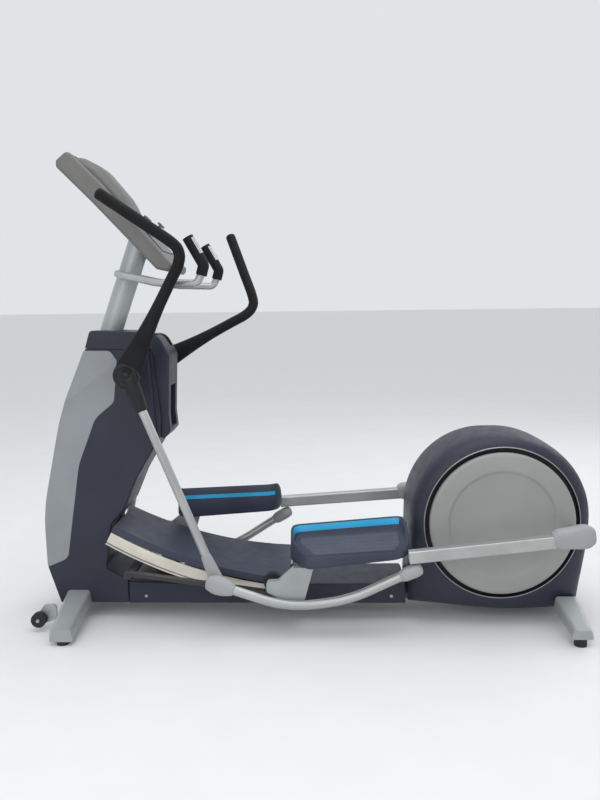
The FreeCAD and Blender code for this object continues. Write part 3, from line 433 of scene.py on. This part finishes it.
def drive_housing():
    """Each half has a broad rounded shoulder from its outline in to the round window."""
    outline = corner_outline(HOUSING, 24)
    corners = [math.atan2(z - CRANK_Z, x - CRANK_X) for x, z, radius in HOUSING if radius <= 0]
    angles = sorted([2 * math.pi * k / 160 - math.pi for k in range(160)] + corners)
    reaches = [reach_at(outline, angle) for angle in angles]
    shoulder = [(0.0, 0.0), (0.02, 78.0), (0.06, 108.0), (0.14, 128.0), (0.28, 146.0), (0.50, 159.0),
                (0.76, 168.0), (0.94, 171.0), (1.0, 169.0), (1.0, 140.0)]
    for tag, side in SIDES:
        rings = []
        for share, depth in shoulder:
            rings.append([
                mm(CRANK_X + math.cos(a) * (r + (WINDOW_RADIUS - r) * share), depth,
                   CRANK_Z + math.sin(a) * (r + (WINDOW_RADIUS - r) * share))
                for a, r in zip(angles, reaches)
            ])
        points = [p for ring in rings for p in placed(ring, side)]
        make_piece("housing_shell_" + tag, points, ring_faces(len(rings), len(angles), False), "root",
                   "shroud_plastic", replaced=("drive_housing_" + tag,), sharp=50.0)
        lip = [(285.2, 168.0), (285.2, 172.0), (287.6, 172.6), (289.0, 170.5)]
        rings = turned(lip, (CRANK_X, CRANK_Z))
        points = [p for ring in rings for p in placed(ring, side)]
        make_piece("window_trim_" + tag, points, ring_faces(len(rings), len(rings[0]), False), "root",
                   "panel_plastic", material=TRIM_LINE)
        # A black sheet behind the window paints the shadow inside the housing; it shows in the ring between the
        # disc's rim and the window's edge.
        back = [(30.0, 150.0), (284.5, 150.0), (284.5, 146.0), (30.0, 146.0)]
        rings = turned(back, (CRANK_X, CRANK_Z))
        points = [p for ring in rings for p in placed(ring, side)]
        faces = ring_faces(4, len(rings[0]), False)
        make_piece("window_shadow_sheet_" + tag, points, faces, "root", "frame_paint", material=SHADOW_GAP)


def crank_discs():
    """A dished cover with a soft raised ring; its rim leaves a ring of the window open, where a black sheet paints
    the shadow inside the housing.
    """
    profile = [(0.0, 182.0), (60.0, 182.0), (190.0, 182.0), (196.0, 182.8), (200.0, 188.6), (204.0, 189.8),
               (214.0, 189.6), (255.0, 187.0), (263.0, 185.6), (267.0, 182.0), (268.0, 177.0),
               (268.0, 165.0), (262.0, 165.0), (0.0, 170.0)]
    for tag, side in SIDES:
        rings = turned([(max(radius, 0.4), depth) for radius, depth in profile], (CRANK_X, CRANK_Z))
        loft("disc_cover_" + tag, rings, side, None, "crank", "disc_plastic",
             replaced=("crank_disc_" + tag,), sharp=60.0)


# ---------------------------------------------------------------- foot arms
def arm_end_caps():
    stations = [(-84, 30, 26), (-80, 33, 28), (-66, 35, 29), (-30, 38, 29.5), (8, 42, 29.5), (28, 40, 28),
                (42, 32, 23)]
    knots = [
        (PIN[0] + u * math.cos(ARM_SLOPE), ARM_DEPTH, PIN[1] + u * math.sin(ARM_SLOPE), tall, wide)
        for u, tall, wide in stations
    ]
    for tag, side in SIDES:
        loft("end_cap_" + tag, swept_rings(knots, 6, 40, power=3.6), side, "arm", tag + "_arm",
             "joint_plastic", replaced=("arm_end_cap_" + tag,))


TRAY_INNER, TRAY_OUTER = 141.0, 305.0
TRAY_TOE, TRAY_HEEL = -51.0, 383.0


def eased(value, low, high):
    t = min(max((value - low) / (high - low), 0.0), 1.0)
    return t * t * (3 - 2 * t)


def tray_floor(x, depth):
    """The tread rises to the heel and leans a little outwards."""
    return 328.0 + (x + 36.0) * 0.068 - (depth - 205.0) * 0.30


def tray_rim(x, depth):
    """The rim is tall on the inner side and round the toe, and low on the outer side."""
    share = (depth - TRAY_INNER) / (TRAY_OUTER - TRAY_INNER)
    tall = 386.0 + (x - TRAY_TOE) * 0.083
    low = tray_floor(x, depth) + 10.0
    drop = eased(share, 0.08, 0.42)
    toe = 1 - eased(x, TRAY_TOE, TRAY_TOE + 70)
    return tall + (low - tall) * drop + 10.0 * toe * drop


def tray_skirt(x):
    """Underside of the tray: deep at the toe, rising with the arm to the heel."""
    return 264.0 + max(x - 20.0, 0.0) * 0.115


def foot_trays():
    plan = corner_outline([
        (TRAY_TOE, TRAY_INNER, 34), (TRAY_HEEL, TRAY_INNER, 56), (TRAY_HEEL, TRAY_OUTER, 68),
        (TRAY_TOE + 62, TRAY_OUTER, 44), (TRAY_TOE, TRAY_OUTER - 96, 26),
    ], 10)
    dense = []
    for index, point in enumerate(plan):
        following = plan[(index + 1) % len(plan)]
        parts = max(1, round((following - point).length / 14))
        dense += [point.lerp(following, k / parts) for k in range(parts)]
    levels = [
        (20.0, lambda skirt, z, floor: skirt),
        (6.0, lambda skirt, z, floor: skirt + 3),
        (0.5, lambda skirt, z, floor: skirt + 12),
        (0.0, lambda skirt, z, floor: max(z - 46, skirt + 14)),
        (0.0, lambda skirt, z, floor: max(z - 30, skirt + 16)),
        (0.6, lambda skirt, z, floor: z - 5),
        (3.5, lambda skirt, z, floor: z),
        (8.0, lambda skirt, z, floor: z - 0.5),
        (11.0, lambda skirt, z, floor: z - 4),
        (13.5, lambda skirt, z, floor: max(z - 28, floor + 6)),
        (18.0, lambda skirt, z, floor: floor + 3),
        (24.0, lambda skirt, z, floor: floor),
    ]
    inside_band, outside_band = 8, 3
    count = len(dense)
    rings = []
    for inset, height in levels:
        shifted = inset_outline(dense, inset)
        rings.append([
            mm(p.x, p.y, height(tray_skirt(q.x), tray_rim(q.x, q.y), tray_floor(p.x, p.y)))
            for p, q in zip(shifted, dense)
        ])
    for tag, side in SIDES:
        points = [p for ring in rings for p in placed(ring, side, "arm")]
        tray = make_piece("foot_tray_" + tag, points, ring_faces(len(rings), count), tag + "_arm",
                          "pedal_plastic", replaced=("pedal_" + tag,), sharp=42.0)
        tray.data.materials.append(BLUE)
        blue_faces = set()
        for index, point in enumerate(dense):
            along_wall = point.y < TRAY_INNER + 8 and point.x < TRAY_HEEL - 20
            round_toe = point.x < TRAY_TOE + 12 and point.y < TRAY_INNER + 48
            for level in (inside_band, outside_band):
                if along_wall or round_toe:
                    blue_faces.add(level * count + index)
        for face in tray.data.polygons:
            if face.index in blue_faces:
                face.material_index = 1
        tread_ribs(tag, side)


def tread_ribs(tag, side):
    """Low rounded ribs along the tray's floor, shorter where the toe corner slants."""
    points, faces = [], []
    section = [(-3.4, 0.2), (-2.4, 2.2), (0.0, 2.9), (2.4, 2.2), (3.4, 0.2)]
    pitch, first, last = 8.2, TRAY_INNER + 32, TRAY_OUTER - 30
    ribs = int((last - first) / pitch) + 1
    for rib in range(ribs):
        depth = first + rib * pitch
        slant = min(max((depth - TRAY_OUTER + 110) / 96, 0.0), 1.0)
        heel_curve = eased(depth, TRAY_OUTER - 70, TRAY_OUTER - 24)
        start, stop = TRAY_TOE + 36 + 62 * slant, TRAY_HEEL - 36 - 22 * heel_curve
        base = len(points)
        for x in (start, start + 4, stop - 4, stop):
            lift = 1.0 if start < x < stop else 0.1
            points += [mm(x, depth + across, tray_floor(x, depth + across) + up * lift)
                       for across, up in section]
        for span in range(3):
            for k in range(4):
                low, high = base + span * 5 + k, base + (span + 1) * 5 + k
                faces.append((low, low + 1, high + 1, high))
    make_piece("tread_ribs_" + tag, placed(points, side, "arm"), faces, tag + "_arm", "pedal_plastic",
               material=TREAD)


# ---------------------------------------------------------------- handlebars and links
def handlebar_pieces():
    foam = [(-628, 226, 972, 47, 22), (-612, 226, 1004, 46, 23), (-560, 230, 1102, 31, 21.5),
            (-510, 234, 1198, 22, 20.5), (-460, 237, 1292, 20, 20), (-430, 238.6, 1350, 20, 20),
            (-424, 244, 1393, 20, 20), (-448, 255.4, 1428, 20, 20), (-540, 289, 1493, 20, 20),
            (-669, 335, 1583, 20, 20)]
    hub = [(0.4, 194), (40, 194), (47, 200), (48, 216), (48, 238), (45, 245), (38, 249), (34, 249),
           (31, 246.5), (14, 246.5), (11, 249), (0.4, 249.5)]
    socket = [(-624, 226, 948, 33, 24), (-606, 227, 904, 31, 24), (-590, 228, 865, 26, 22),
              (-580, 228.5, 842, 23, 21)]
    tube = [(-590, 228, 865, 16, 16), (-456, 237, 535, 16, 16), (-328, 245.6, 220, 16, 16)]
    boot = [(-360, 246, 298, 18.5, 17), (-353, 246.5, 281, 21, 17.5), (-338, 247, 244, 24, 17.5),
            (-326, 247, 214, 27, 17)]
    elbow = [(-345, 288, 214, 26, 20), (-325, 288, 208, 33, 23), (-302, 288, 200, 33, 23.5),
             (-278, 287, 192, 28, 23), (-262, 287, 187, 22, 21)]
    ball = [(352, 287, 238, 20, 20), (360, 287, 242, 23, 22), (378, 287, 250, 24, 23),
            (400, 287, 259, 24, 23.5), (414, 287, 264, 21, 20)]
    for tag, side in SIDES:
        handle, link = tag + "_handle", tag + "_link"
        loft("foam_grip_" + tag, swept_rings(foam, 10, 32), side, "handle", handle, "grip_foam",
             replaced=("handlebar_" + tag,))
        loft("hub_drum_" + tag, turned(hub, (-630, 964), 64), side, "handle", handle, "grip_foam",
             material=HUB_BLACK)
        loft("tube_socket_" + tag, swept_rings(socket, 8, 32), side, "handle", handle, "grip_foam",
             material=HUB_BLACK)
        loft("swing_tube_" + tag, swept_rings(tube, 4, 32), side, "handle", handle, "satin_tube",
             replaced=("lower_tube_" + tag,))
        loft("tube_boot_" + tag, swept_rings(boot, 8, 32), side, "handle", handle, "joint_plastic")
        loft("elbow_cover_" + tag, swept_rings(elbow, 8, 36, power=2.6), side, "link", link,
             "joint_plastic", replaced=("link_covers_" + tag,))
        loft("ball_cover_" + tag, swept_rings(ball, 8, 36, power=2.3), side, "link", link,
             "joint_plastic")


# ---------------------------------------------------------------- column panels
PANEL = [(-1006, 204, 10), (-1008, 430, 700), (-923, 812, 900), (-822, 1047, 4), (-722, 1046, 26),
         (-697, 1008, 14), (-716, 850, 40), (-790, 790, 90), (-862, 610, 260), (-908, 330, 300),
         (-922, 240, 40)]
CREASE = (Vector((-700, 992)), Vector((-918, 842)))
CREASE_DEPTH, CREASE_WIDTH = 4.3, 13.0


def crease_depth(x, z):
    """How far the panel falls back above its diagonal crease."""
    along = (CREASE[1] - CREASE[0]).normalized()
    above = (Vector((x, z)) - CREASE[0]).dot(Vector((along.y, -along.x)) * -1)
    return CREASE_DEPTH * min(max(above / CREASE_WIDTH, 0.0), 1.0)


def column_side_panels():
    outline = corner_outline(PANEL, 14)
    along = (CREASE[1] - CREASE[0]).normalized()
    across = Vector((along.y, -along.x)) * -1
    for tag, side in SIDES:
        rings = rounded_slab(outline, 103.0, 109.2, 3.0)
        points = [p for ring in rings for p in ring]
        mesh = bpy.data.meshes.new("cutting")
        mesh.from_pydata([tuple(p) for p in points], [], ring_faces(len(rings), len(outline)))
        build = bmesh.new()
        build.from_mesh(mesh)
        for offset in (0.0, CREASE_WIDTH):
            at = CREASE[0] + across * offset
            bmesh.ops.bisect_plane(build, geom=build.verts[:] + build.edges[:] + build.faces[:],
                                   plane_co=mm(at.x, 0, at.y), plane_no=(across.x, 0, across.y))
        build.verts.index_update()
        kept = []
        for vertex in build.verts:
            x, z = (vertex.co.x - DATUM_X) * 1000, vertex.co.z * 1000
            back = crease_depth(x, z) / 1000 if vertex.co.y > 0.1035 else 0.0
            kept.append(Vector((vertex.co.x, vertex.co.y - back, vertex.co.z)))
        faces = [tuple(v.index for v in face.verts) for face in build.faces]
        build.free()
        bpy.data.meshes.remove(mesh)
        panel = make_piece("side_panel_" + tag, placed(kept, side), faces, "root", "panel_plastic",
                           sharp=20.0)
        if side < 0:
            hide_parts("column_panels")


# ---------------------------------------------------------------- console
CONSOLE_AT, CONSOLE_TILT = (-869.0, 1731.0), math.radians(44.5)
HOOD = [(18, 40, 3), (30, 66, 24), (104, 88, 150), (250, 72, 160), (334, 30, 6)]
HOOD_HALF, HOOD_SEAT, HOOD_SINK, HOOD_MIDDLE = 114.0, 36.0, 4.0, 176.0


def on_console(along, across, up):
    """A point given along the console's slope, across it and up from it."""
    c, s = math.cos(CONSOLE_TILT), math.sin(CONSOLE_TILT)
    return mm(CONSOLE_AT[0] + along * c + up * s, across, CONSOLE_AT[1] - along * s + up * c)


def console_hood():
    """The display stands under a hood that is crowned from side to side."""
    outline = corner_outline(HOOD, 10)
    steps = 24
    rings = []
    for step in range(steps + 1):
        share = -math.cos(math.pi * step / steps)
        crown = (1 - abs(share) ** 2.6) ** 0.5
        shrink = 0.955 + 0.045 * crown
        rings.append([
            on_console(HOOD_MIDDLE + (p.x - HOOD_MIDDLE) * shrink, share * HOOD_HALF,
                       HOOD_SEAT + max(p.y - HOOD_SEAT, -HOOD_SINK) * (0.22 + 0.78 * crown))
            for p in outline
        ])
    loft("display_hood", rings, 1, None, "root", "display", replaced=("console_display",), sharp=55.0)


def tray_fairing():
    """Slate moulding that closes the column's rear edge against the accessory tray."""
    outline = corner_outline([(-650, 1043, 6), (-568, 1043, 14), (-543, 800, 60), (-546, 708, 14),
                              (-640, 708, 6)], 8)
    rings = rounded_slab(outline, -94.0, 94.0, 9.0)
    loft("tray_fairing", rings, 1, None, "root", "shroud_plastic", sharp=50.0)


studio()
paint_frame()
console_hood()
tray_fairing()
drive_housing()
crank_discs()
arm_end_caps()
foot_trays()
handlebar_pieces()
column_side_panels()
